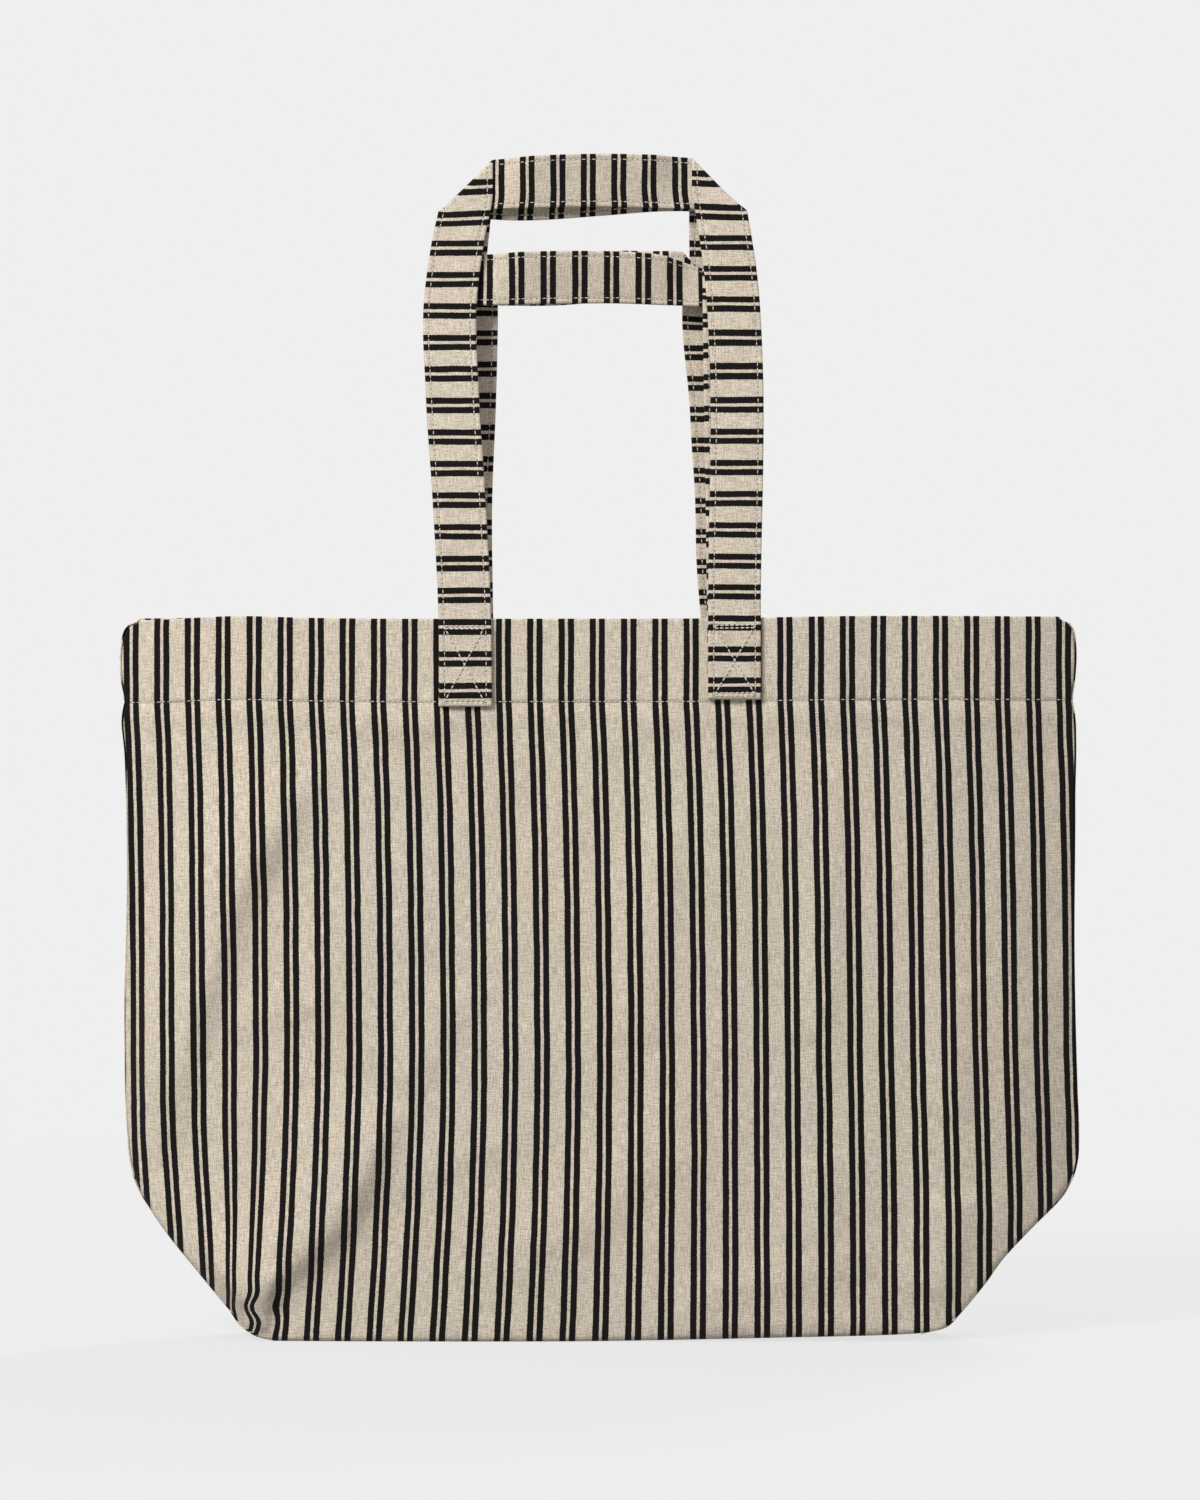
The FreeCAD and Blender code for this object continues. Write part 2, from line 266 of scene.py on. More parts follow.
def wall_depth(side, x, z):
    """Depth of a wall's outer face."""
    left, right = edges(z, side)
    inside = np.minimum(x - left, right - x)
    held = smooth(inside / 20) * smooth(z / 10) * (1 - 0.9 * near_feet(x, z))
    depth = lens(x, z) + CANVAS + folds(side, x, z) * held * (1 - 0.45 * hem_share(z))
    depth += hem_relief(side, x, z)

    slant = smooth((CORNER_RISE + 20 - z) / 30)
    roll = 1.2 + 3.0 * slant
    edge = np.minimum(inside * (1 - 0.3 * slant), z)
    fall = np.clip((roll - edge) / roll, 0, 1)
    return np.maximum(depth - roll * (1 - np.sqrt(1 - fall**2)), CLOTH / 2 + 0.1)


def wall_place(side, x, z, proud=0.0):
    """Row frame position of a point on a wall's outer face, or proud of it."""
    depth = wall_depth(side, x, z) + proud
    lift = bottom_lift(side, x) * (1 - smooth(z / 130))
    lift += through(RIM_WAVE, x) * smooth((z - 300) / 170) * (1.0 if side == FRONT else 0.4)
    return np.stack([x, side * depth, z + lift], -1)


def stripe_drift(x, z):
    """How far the front's stripes wander to the right, below the hem, from plumb.

    The whole wall drifts, the lower left is pulled toward its corner and gathered beside it,
    the lower right swings out, and the tuck ripples at the corner."""
    below = HEM_STITCH - z
    drift = 5.4 * (1 - np.exp(-np.clip(below, 0, None) / 110))
    pull = 7.4 * np.clip((195 - z) / 185, 0, None) ** 1.7 * smooth((120 - x) / 260) * smooth((x + 252) / 38)
    gather = 6.0 * smooth((150 - z) / 120) * smooth((-222 - x) / 34)
    swing = 2.4 * smooth((210 - z) / 130) * smooth((x - 90) / 160)
    tuck = 4.0 * np.sin((z - 4) / 4.2) * bell(np.hypot(x + 224, z - 19), 13)
    return drift - pull + gather + swing + tuck


def wall_uv(side, x, z):
    """The cloth's own place under a point of a wall: across the stripes, and along them.

    The back's stripes start elsewhere, and it is cut from another stretch of the cloth."""
    if side == FRONT:
        return np.stack([x - STRIPE_FIRST - stripe_drift(x, z), z], -1)
    return np.stack([x - STRIPE_FIRST + 7.0 + 2.5 * np.sin(z / 150), z + 900], -1)


# ---- mesh building ------------------------------------------------------------------
def object_from(name, points, faces, uv=None, needle=None):
    """A smooth mesh object from millimetre points. UV layer "cloth" holds the cloth's own metres,
    and "needle" how many stitches along a sewn line a point is, and how near that line."""
    mesh = bpy.data.meshes.new(name)
    mesh.from_pydata((np.asarray(points) * MM).tolist(), [], np.asarray(faces).tolist())
    corners = np.empty(len(mesh.loops), np.int32)
    mesh.loops.foreach_get("vertex_index", corners)
    for layer_name, given, scale in (("cloth", uv, MM), ("needle", needle, 1.0)):
        if given is not None:
            layer = mesh.uv_layers.new(name=layer_name)
            values = np.asarray(given).reshape(-1, 2) * scale
            layer.data.foreach_set("uv", values[corners].astype(np.float32).ravel())
    mesh.polygons.foreach_set("use_smooth", [True] * len(mesh.polygons))
    made = bpy.data.objects.new(name, mesh)
    bpy.context.scene.collection.objects.link(made)
    return made


def grid_faces(rows, columns, ring=False, flip=False):
    """Quads of a grid of rows by columns, closed across the columns for a ring."""
    across = columns if ring else columns - 1
    i, j = np.meshgrid(np.arange(rows - 1), np.arange(across), indexing="ij")
    k = (j + 1) % columns
    quads = [i * columns + j, i * columns + k, (i + 1) * columns + k, (i + 1) * columns + j]
    faces = np.stack(quads, -1).reshape(-1, 4)
    return faces[:, ::-1] if flip else faces


def grid_object(name, points, uv, flip=False, needle=None):
    """A mesh object from a grid of points and its cloth places."""
    faces = grid_faces(*points.shape[:2], flip=flip)
    return object_from(name, points.reshape(-1, 3), faces, uv, needle)


def thicken(made, thickness):
    """Gives a sheet its thickness, half on each side."""
    modifier = made.modifiers.new("thickness", "SOLIDIFY")
    modifier.thickness = thickness * MM
    modifier.offset = 0.0
    return made


def finish_piece(made, material, nodes, body="bag"):
    """Gives a piece its material, hides the CAD nodes it stands for and, when a body is given, attaches it
    to that body.
    """
    made.data.materials.clear()
    made.data.materials.append(material)
    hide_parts(*nodes)
    if body:
        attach(made, body)


def spaced(start, end, step, fine=()):
    """Even steps from start to end, and extra values where the shape needs them."""
    count = max(2, int(round((end - start) / step)) + 1)
    values = np.concatenate([np.linspace(start, end, count), np.array(fine, float)])
    values = np.unique(values[(values >= start) & (values <= end)])
    keep = np.concatenate([[True], np.diff(values) > 0.04 * step])
    return values[keep]


# ---- materials ----------------------------------------------------------------------
class Nodes:
    """Short words for building a material's node tree."""

    def __init__(self, name):
        self.material = bpy.data.materials.new(name)
        self.material.use_nodes = True
        self.tree = self.material.node_tree
        self.shader = self.tree.nodes["Principled BSDF"]

    def add(self, kind, **settings):
        node = self.tree.nodes.new(kind)
        for key, value in settings.items():
            setattr(node, key, value)
        return node

    def feed(self, socket, value):
        if isinstance(value, bpy.types.NodeSocket):
            self.tree.links.new(value, socket)
        else:
            socket.default_value = value

    def math(self, operation, a, b=None, c=None, clamp=False):
        node = self.add("ShaderNodeMath", operation=operation, use_clamp=clamp)
        for socket, value in zip(node.inputs, (a, b, c)):
            if value is not None:
                self.feed(socket, value)
        return node.outputs[0]

    def noise(self, vector, scale, detail=2.0, roughness=0.5):
        node = self.add("ShaderNodeTexNoise")
        self.feed(node.inputs["Vector"], vector)
        node.inputs["Scale"].default_value = scale
        node.inputs["Detail"].default_value = detail
        node.inputs["Roughness"].default_value = roughness
        return node.outputs["Fac"]

    def stretch(self, vector, x, y):
        node = self.add("ShaderNodeMapping")
        self.feed(node.inputs["Vector"], vector)
        node.inputs["Scale"].default_value = (x, y, 1)
        return node.outputs[0]

    def ramp(self, value, low, high, to_low=0.0, to_high=1.0):
        node = self.add("ShaderNodeMapRange", interpolation_type="SMOOTHSTEP")
        for socket, given in zip(node.inputs, (value, low, high, to_low, to_high)):
            self.feed(socket, given)
        return node.outputs[0]

    def mix(self, share, a, b, blend="MIX"):
        node = self.add("ShaderNodeMix", data_type="RGBA", blend_type=blend)
        self.feed(node.inputs[0], share)
        self.feed(node.inputs[6], a)
        self.feed(node.inputs[7], b)
        return node.outputs[2]

    def bump(self, height, strength, distance):
        node = self.add("ShaderNodeBump")
        node.inputs["Strength"].default_value = strength
        node.inputs["Distance"].default_value = distance
        self.feed(node.inputs["Height"], height)
        self.feed(self.shader.inputs["Normal"], node.outputs[0])


# Colours are linear. Lengths are in millimetres of cloth.
COTTON_SHADE, COTTON_LIGHT = (0.425, 0.350, 0.268, 1), (0.845, 0.742, 0.610, 1)
COTTON_CLOUD = (0.53, 0.46, 0.37, 1)
SEED_FLECK = (0.12, 0.075, 0.04, 1)
INK, WORN_INK = (0.0056, 0.0045, 0.0037, 1), (0.06, 0.055, 0.045, 1)
# the next colour is painted shade for the needle holes and sewn grooves
NEEDLE_HOLE_SHADE = (0.035, 0.028, 0.02, 1)
THREAD_SHADE, THREAD_LIGHT = (0.50, 0.45, 0.36, 1), (0.80, 0.75, 0.64, 1)
STRIPE_OFFSET = 3.0          # middle of a pair to the middle of each of its stripes
STRIPE_OUTSIDE, STRIPE_INSIDE = 2.20, 1.88    # middle of a stripe to its ragged edge's limits
WARP_PITCH, WEFT_PITCH, TWILL_PITCH = 0.62, 0.74, 1.9


def stripe_mask(n, cloth, u):
    """1 on the stripes. They wander a little, and their edges are ragged from thread to thread."""
    wander = n.math("MULTIPLY_ADD", n.noise(n.stretch(cloth, 0.05, 0.03), 1.0), 1.1, -0.55)
    rough = n.noise(n.stretch(cloth, 0.55, 0.85), 1.0, 3.0, 0.7)
    ragged = n.math("MULTIPLY_ADD", rough, 1.9, -0.95)
    place = n.math("ADD", n.math("ADD", u, wander), n.math("MULTIPLY", ragged, 0.55))
    turns = n.math("ADD", n.math("DIVIDE", place, STRIPE_PERIOD), 0.5)
    from_pair = n.math("ABSOLUTE", n.math("SUBTRACT", n.math("FRACT", turns), 0.5))
    distance = n.math("SUBTRACT", n.math("MULTIPLY", from_pair, STRIPE_PERIOD), STRIPE_OFFSET)
    return n.ramp(n.math("ABSOLUTE", distance), STRIPE_OUTSIDE, STRIPE_INSIDE)


def weave_height(n, u, v):
    """Warp and weft threads under a fine twill."""
    warp = n.math("SINE", n.math("MULTIPLY", u, 2 * math.pi / WARP_PITCH))
    weft = n.math("SINE", n.math("MULTIPLY", v, 2 * math.pi / WEFT_PITCH))
    slant = n.math("ADD", u, n.math("MULTIPLY", v, 1.15))
    twill = n.math("SINE", n.math("MULTIPLY", slant, 2 * math.pi / TWILL_PITCH))
    return n.math("MULTIPLY_ADD", n.math("MULTIPLY", warp, weft), 0.35, n.math("MULTIPLY", twill, 0.3))


def slub_height(n, cloth):
    """Thick places in the threads, long in both directions, and a fine grain."""
    along_v = n.noise(n.stretch(cloth, 1.5, 0.11), 1.0, 3.0, 0.65)
    along_u = n.noise(n.stretch(cloth, 0.13, 1.7), 1.0, 3.0, 0.65)
    grain = n.noise(n.stretch(cloth, 1.1, 1.1), 1.0, 2.0, 0.6)
    return n.math("ADD", n.math("ADD", along_u, along_v), n.math("MULTIPLY", grain, 0.9))


def cotton_colour(n, cloth, slub):
    """Natural cotton: uneven tone, broad clouds and a few brown seed flecks."""
    cotton = n.mix(n.ramp(slub, 1.14, 1.76), COTTON_SHADE, COTTON_LIGHT)
    cloudy = n.ramp(n.noise(n.stretch(cloth, 0.03, 0.022), 1.0, 3.0), 0.3, 0.7)
    cotton = n.mix(n.math("MULTIPLY", cloudy, 0.10), cotton, COTTON_CLOUD)
    cells = n.add("ShaderNodeTexVoronoi", feature="F1")
    n.feed(cells.inputs["Vector"], n.stretch(cloth, 0.10, 0.085))
    cells.inputs["Scale"].default_value = 1.0
    chance = n.add("ShaderNodeSeparateColor")
    n.feed(chance.inputs[0], cells.outputs["Color"])
    small = n.math("LESS_THAN", cells.outputs["Distance"], n.math("MULTIPLY", chance.outputs[1], 0.055))
    fleck = n.math("MULTIPLY", small, n.math("LESS_THAN", chance.outputs[0], 0.33))
    return n.mix(n.math("MULTIPLY", fleck, 0.75), cotton, SEED_FLECK)


def needle_hole_shade(n):
    """Painted shade in the needle holes between stitches, and a slight painted shade along a sewn groove.
    """
    sewn = n.add("ShaderNodeSeparateXYZ")
    n.feed(sewn.inputs[0], n.add("ShaderNodeUVMap", uv_map="needle").outputs[0])
    from_middle = n.math("ABSOLUTE", n.math("SUBTRACT", n.math("FRACT", sewn.outputs[0]), 0.5))
    hole_shade = n.math("MULTIPLY", n.ramp(from_middle, 0.33, 0.45), n.ramp(sewn.outputs[1], 0.15, 0.6))
    return n.math("MULTIPLY_ADD", hole_shade, 0.5, n.math("MULTIPLY", sewn.outputs[1], 0.12), clamp=True)


def striped_canvas(name):
    """Natural slubby canvas, printed with pairs of black stripes that wear where threads stand up."""
    n = Nodes(name)
    in_mm = n.add("ShaderNodeVectorMath", operation="SCALE")
    n.feed(in_mm.inputs[0], n.add("ShaderNodeUVMap", uv_map="cloth").outputs[0])
    in_mm.inputs["Scale"].default_value = 1 / MM
    cloth = in_mm.outputs[0]
    axes = n.add("ShaderNodeSeparateXYZ")
    n.feed(axes.inputs[0], cloth)
    u, v = axes.outputs[0], axes.outputs[1]

    slub = slub_height(n, cloth)
    ink = n.mix(n.math("MULTIPLY", n.ramp(slub, 1.75, 2.15), 0.35), INK, WORN_INK)
    colour = n.mix(stripe_mask(n, cloth, u), cotton_colour(n, cloth, slub), ink)
    # painted shade darkens the needle holes and the sewn grooves
    n.feed(n.shader.inputs["Base Color"], n.mix(needle_hole_shade(n), colour, NEEDLE_HOLE_SHADE))
    n.feed(n.shader.inputs["Roughness"], n.ramp(slub, 1.0, 1.9, 0.95, 0.82))
    n.shader.inputs["Specular IOR Level"].default_value = 0.12
    n.shader.inputs["Sheen Weight"].default_value = 0.05
    n.shader.inputs["Sheen Roughness"].default_value = 0.6
    n.bump(n.math("MULTIPLY_ADD", slub, 0.55, weave_height(n, u, v)), 0.55, 0.00022)
    return n.material


def sewing_thread():
    """Cream cotton thread."""
    n = Nodes("CreamThread")
    coordinates = n.add("ShaderNodeTexCoord").outputs["Object"]
    uneven = n.noise(coordinates, 900.0, 2.0)
    n.feed(n.shader.inputs["Base Color"], n.mix(uneven, THREAD_SHADE, THREAD_LIGHT))
    n.shader.inputs["Roughness"].default_value = 0.6
    n.shader.inputs["Sheen Weight"].default_value = 0.2
    n.bump(n.noise(coordinates, 3500.0, 1.0), 0.3, 0.0001)
    return n.material


body_canvas = striped_canvas("StripedCanvas")
strap_canvas = striped_canvas("StrapCanvas")
thread = sewing_thread()


# ---- stitches -----------------------------------------------------------------------
STITCH = 2.6                 # one stitch on the surface
STITCH_PITCH = 3.35
THREAD_RADIUS = 0.30


def stitch_rows(name, place, rows, radius=THREAD_RADIUS, pitch=STITCH_PITCH, seed=1):
    """Sewn rows: short threads that rise out of the cloth and dive back into it.

    place(a, b, proud) gives positions; each row is a line from (a, b) to (a, b)."""
    rng = np.random.default_rng(seed)
    starts, ends = [], []
    for a0, b0, a1, b1 in rows:
        length = math.hypot(a1 - a0, b1 - b0)
        count = max(1, int(length / pitch))
        for k in range(count):
            begin = (k + 0.5) / count - STITCH / 2 / length + rng.normal(0, 0.04) / length
            for store, t in ((starts, begin), (ends, begin + STITCH / length)):
                store.append((a0 + (a1 - a0) * t, b0 + (b1 - b0) * t))
    starts, ends = np.array(starts), np.array(ends)
    along = (ends - starts) / np.linalg.norm(ends - starts, axis=1, keepdims=True)
    across = np.stack([-along[:, 1], along[:, 0]], -1)
    t = np.array([0.0, 0.12, 0.35, 0.65, 0.88, 1.0])
    lift = radius * np.array([-1.0, -0.15, 0.45, 0.45, -0.15, -1.0])
    girth = radius * np.array([0.35, 0.85, 1.0, 1.0, 0.85, 0.35])
    angles = np.arange(6) / 6 * 2 * math.pi
    centre = starts[:, None] + (ends - starts)[:, None] * t[None, :, None]
    sideways = np.cos(angles)[None, :] * girth[:, None]
    upward = np.sin(angles)[None, :] * girth[:, None] + lift[:, None]
    spot = centre[:, :, None, :] + across[:, None, None, :] * sideways[None, :, :, None]
    proud = np.broadcast_to(upward[None], spot.shape[:3])
    points = place(spot[..., 0].ravel(), spot[..., 1].ravel(), proud.ravel())
    one = grid_faces(len(t), len(angles), ring=True)
    faces = np.concatenate([one + k * len(t) * len(angles) for k in range(len(starts))])
    return object_from(name, points, faces)


# ---- walls with their turned-in hems ------------------------------------------------
def hem_cuts():
    """Where the hem's row of stitches starts and stops: it runs under the feet out of sight."""
    left, right = (float(edge) for edge in edges(HEM_STITCH))
    half = STRAP_WIDTH / 2 + 1
    under = [foot_x + reach for foot_x, foot_z in FEET.values() for reach in (-half, half)]
    return [left + 3] + under + [right - 3]


def hem_needle(x, z):
    """How many hem stitches a place is from the left, and half of how near the row it is."""
    cuts = hem_cuts()
    counts = [0]
    for k in range(5):
        counts.append(counts[-1] + int((cuts[k + 1] - cuts[k]) / STITCH_PITCH))
    near = 0.5 * np.clip(1 - np.abs(z - HEM_STITCH) / 0.9, 0, 1)
    return np.stack([np.interp(x, cuts, counts), near], -1)


RIM_ROLL = 0.95              # radius of the fold at the rim
FACING_INSET = 3.0           # how much narrower the turned-in layer is at each side
WALL_STEP = 3.0              # between rows of a wall's mesh
WALL_COLUMNS = 206           # its even columns, between finer ones at the sides
FINE_SIDE = [0, 0.3, 0.8, 1.5, 2.5, 4.0, 6.0, 8.5]


def wall_rows(side, shares):
    """Rows from the floor to the rim: points, places in the cloth and needle marks."""
    fine = [0.4, 1.0, 1.8, 2.8, 4.2, 6.0, 8.5, RIM - 2.5, RIM - 1]
    fine += [HEM_STITCH + step for step in (-5, -3.5, -2, -1.2, -0.5, 0, 0.5, 1.2, 2, 3.5)]
    for z in spaced(0, RIM, WALL_STEP, fine):
        left, right = edges(z, side)
        x = left + (right - left) * shares
        height = np.full_like(x, z)
        yield wall_place(side, x, height, -CLOTH / 2), wall_uv(side, x, height), hem_needle(x, height)


def facing_rows(side, x, top):
    """The same for the fold over the rim, and for the layer turned in below it."""
    unsewn = np.zeros((len(x), 2))
    for angle in np.linspace(0, math.pi, 7)[1:]:
        inward, upward = RIM_ROLL * (1 - math.cos(angle)), RIM_ROLL * math.sin(angle)
        cloth = wall_uv(side, x, np.full_like(x, RIM + RIM_ROLL * angle))
        yield top + np.array([0.0, -side * inward, upward]), cloth, unsewn
    x_inside = x * (1 - FACING_INSET / HALF_WIDTH)
    for down in spaced(2, FACING, WALL_STEP):
        layer = wall_place(side, x_inside, np.full_like(x, RIM - down), -CLOTH / 2 - 2 * RIM_ROLL)
        layer[:, 1] = side * np.maximum(side * layer[:, 1], CLOTH)
        yield layer, wall_uv(side, x, np.full_like(x, RIM + RIM_ROLL * math.pi + down)), unsewn


def wall(side_name, side):
    """One body panel from the floor over the rim and down inside as the hem's facing."""
    width, fine = 2 * HALF_WIDTH, np.array(FINE_SIDE)
    even = np.linspace(fine[-1] + WALL_STEP, width - fine[-1] - WALL_STEP, WALL_COLUMNS)
    shares = np.concatenate([fine, even, width - fine[::-1]]) / width
    rows = list(wall_rows(side, shares))
    left, right = edges(RIM, side)
    rows += facing_rows(side, left + (right - left) * shares, rows[-1][0])
    points, uv, needle = (np.array(part) for part in zip(*rows))
    made = thicken(grid_object(side_name + "_wall_cloth", points, uv, side == BACK, needle), CLOTH)
    finish_piece(made, body_canvas, [side_name + "_panel", side_name + "_hem_facing"])


def over_wall(side, over=0.0):
    """Places for stitches on a wall's outer face, or on what lies on it."""
    def place(x, z, proud):
        return wall_place(side, x, z, over + proud)
    return place


def hem_thread(side_name, side):
    cuts = hem_cuts()
    rows = [(cuts[k], HEM_STITCH, cuts[k + 1], HEM_STITCH) for k in (0, 2, 4)]
    made = stitch_rows(side_name + "_hem_thread", over_wall(side), rows, seed=5 + side)
    finish_piece(made, thread, [side_name + "_hem_stitching"])


for side_name, side in SIDES.items():
    wall(side_name, side)
    hem_thread(side_name, side)


# ---- base and corner folds ----------------------------------------------------------
BASE_CLOTH = 85.0            # bottom edge to the base seam
BASE_ENDS = {-1: -BASE_END + 13, 1: BASE_END - 14}
CORNER_CLOTH = (130.0, 62.0)    # a corner fold's slanted edge, and its depth


def base_line(t):
    """The base's section from a bottom edge, t 0, to its ridge, t 1: (depth, height)."""
    depth = through([(0, 27.0), (0.06, 24.0), (0.16, 17.5), (0.3, 12.5), (0.6, 6.5), (1, 0.6)], t)
    height = through([(0, 1.1), (0.06, 0.75), (0.16, 3.4), (0.3, 14), (0.6, 41.5), (1, RIDGE)], t)
    return depth, height


def base_half(side_name, side):
    """Half of the folded-up base, from a wall's bottom edge to the base seam."""
    t = spaced(0, 1, 0.03, [0.01, 0.03, 0.05, 0.08, 0.1, 0.13])
    left, right = BASE_ENDS[-1], BASE_ENDS[1]
    x = spaced(left, right, 3.4)
    grid_t, grid_x = np.meshgrid(t, x, indexing="ij")
    depth, height = base_line(grid_t)
    soft = smooth(grid_t / 0.2) * smooth((1 - grid_t) / 0.15)
    bend = 1.1 * value_noise(grid_x, grid_t * BASE_CLOTH, 60, 40, 40 + side) * soft
    lift = bottom_lift(side, grid_x) * (1 - smooth(grid_t / 0.5))
    points = np.stack([grid_x, side * (depth + bend), height + lift], -1)
    uv = wall_uv(side, grid_x, np.zeros_like(grid_x))
    uv[..., 1] -= grid_t * BASE_CLOTH
    made = thicken(grid_object(side_name + "_base_cloth", points, uv, flip=side == FRONT), CLOTH)
    finish_piece(made, body_canvas, [side_name + "_base_half"])


def corner_fold(side_name, side, x_name, x_side):
    """The triangle folded in at a slanted corner: from the wall's slanted edge to the base's end."""
    t, share = np.meshgrid(spaced(0, 1, 0.03), spaced(0, 1, 0.035), indexing="ij")
    z = t * CORNER_RISE
    edge_x = edges(z, side)[0 if x_side < 0 else 1] - 0.8 * x_side
    rim = wall_place(side, edge_x, z, -CLOTH / 2)
    end_x = BASE_ENDS[x_side]
    apex = np.array([end_x, side * 0.8, RIDGE])
    points = rim * (1 - share[..., None]) + apex * share[..., None]
    depth, height = base_line(share)
    start = rim[:1]
    straight = start * (1 - share[..., None]) + apex * share[..., None]
    height = height + bottom_lift(side, end_x) * (1 - smooth(share / 0.5))
    profile = np.stack([np.full_like(depth, end_x), side * depth, height], -1)
    points = points + (profile - straight) * ((1 - t) ** 3)[..., None]
    uv_rim = wall_uv(side, edge_x, z)
    uv_apex = wall_uv(side, np.array(x_side * HALF_WIDTH), np.array(0.0))
    uv = uv_rim * (1 - share[..., None]) + uv_apex * share[..., None]
    corner = x_name + "_" + side_name + "_corner"
    made = thicken(grid_object(corner + "_cloth", points, uv, flip=(side * x_side) > 0), CLOTH)
    finish_piece(made, body_canvas, [corner + "_fold"])
    length, depth = (size * MM for size in CORNER_CLOTH)


for side_name, side in SIDES.items():
    base_half(side_name, side)
    for x_name, x_side in ENDS.items():
        corner_fold(side_name, side, x_name, x_side)


# ---- straps -------------------------------------------------------------------------
FOLD_RADIUS = 1.3
FOLD_SHIFT = math.pi * FOLD_RADIUS / math.sqrt(2)    # strap used up by one 45 degree fold
EDGE_STITCH = 13.4           # middle of the strap to a row of edge stitches
BAND_TILT = 0.33             # how far the crowns lean out at the top, per millimetre of width

# For each strap: side, layer, the legs' middle lines at the crown, the crown's height, how
# far each leg bows to the right below it as (z, shift), the crown's sag as (x, shift), the
# share of its width that a tilted crown shows as (x, share), and where stripe pairs cross it:
# (distance along the strap from the floor's level, count).
STRAPS = {
    "front_long": dict(
        side=FRONT, layer=0, left=-87, right=77, crown=755.7,
        left_bow=[(400, -0.5), (470, -1), (547, -5), (612, -9.3), (677, -11), (716, -6), (750, 0)],
        right_bow=[(400, 10.5), (470, 10.5), (655, 11.5), (681, 10), (700, 8), (717, 5.5),
                   (735, 2.5), (752, 0)],
        sag=[(-100, -2), (-60, -0.5), (0, 0.6), (50, -0.6), (90, -2)],
        width=[(-100, 0.96), (0, 1), (100, 1)],
        pairs=[(402.1, -1), (732.6, 15), (775.4, 17), (894.7, 23), (960, 26), (1000, 28),
               (1066.5, 31), (1168.5, 36), (1188.5, 37), (1249, 40), (1269.6, 41)]),
    "front_short": dict(
        side=FRONT, layer=1, left=-95, right=84, crown=692.3,
        left_bow=[(400, 7), (470, 7), (547, 3), (612, -1.5), (660, -2.5), (690, -2)],
        right_bow=[(400, 3), (470, 2.5), (560, 1.5), (640, 0.5), (690, 0)],
        sag=[(-90, -0.5), (-20, 0.6), (10, 0.8), (45, -0.4), (80, -1.5)],
        width=[(-90, 0.98), (10, 0.98), (40, 0.94), (68, 0.74), (90, 0.66)],
        pairs=[(402.6, -1), (714.3, 14), (856.7, 21), (1187, 37)]),
    "back_long": dict(
        side=BACK, layer=0, left=-88, right=75.5, crown=752.0,
        left_bow=[(400, 0), (470, 0), (600, -3), (700, -4), (748, 0)],
        right_bow=[(400, 11), (470, 11), (560, 8), (612, 4.5), (700, 0.5), (745, 0)],
        sag=[(-90, -2), (-50, -3.5), (0, -0.6), (40, 2.4), (80, 2)],
        width=[(-90, 1), (90, 1)],
        pairs=[(400, -1), (731, 15), (893, 23), (1262, 41)]),
    "back_short": dict(
        side=BACK, layer=1, left=-84, right=71, crown=695.0,
        left_bow=[(400, -4), (470, -4), (547, -4.4), (612, -1.6), (675, 0)],
        right_bow=[(400, 15), (470, 13), (504, 10.3), (560, 8.5), (579, 7), (612, 5), (669, 0)],
        sag=[(-80, -2), (-30, -2.2), (15, 0.8), (50, -0.6), (80, -2.5)],
        width=[(-80, 1), (80, 1)],
        pairs=[(407, -1), (738, 15), (900, 23), (1220, 39)]),
}


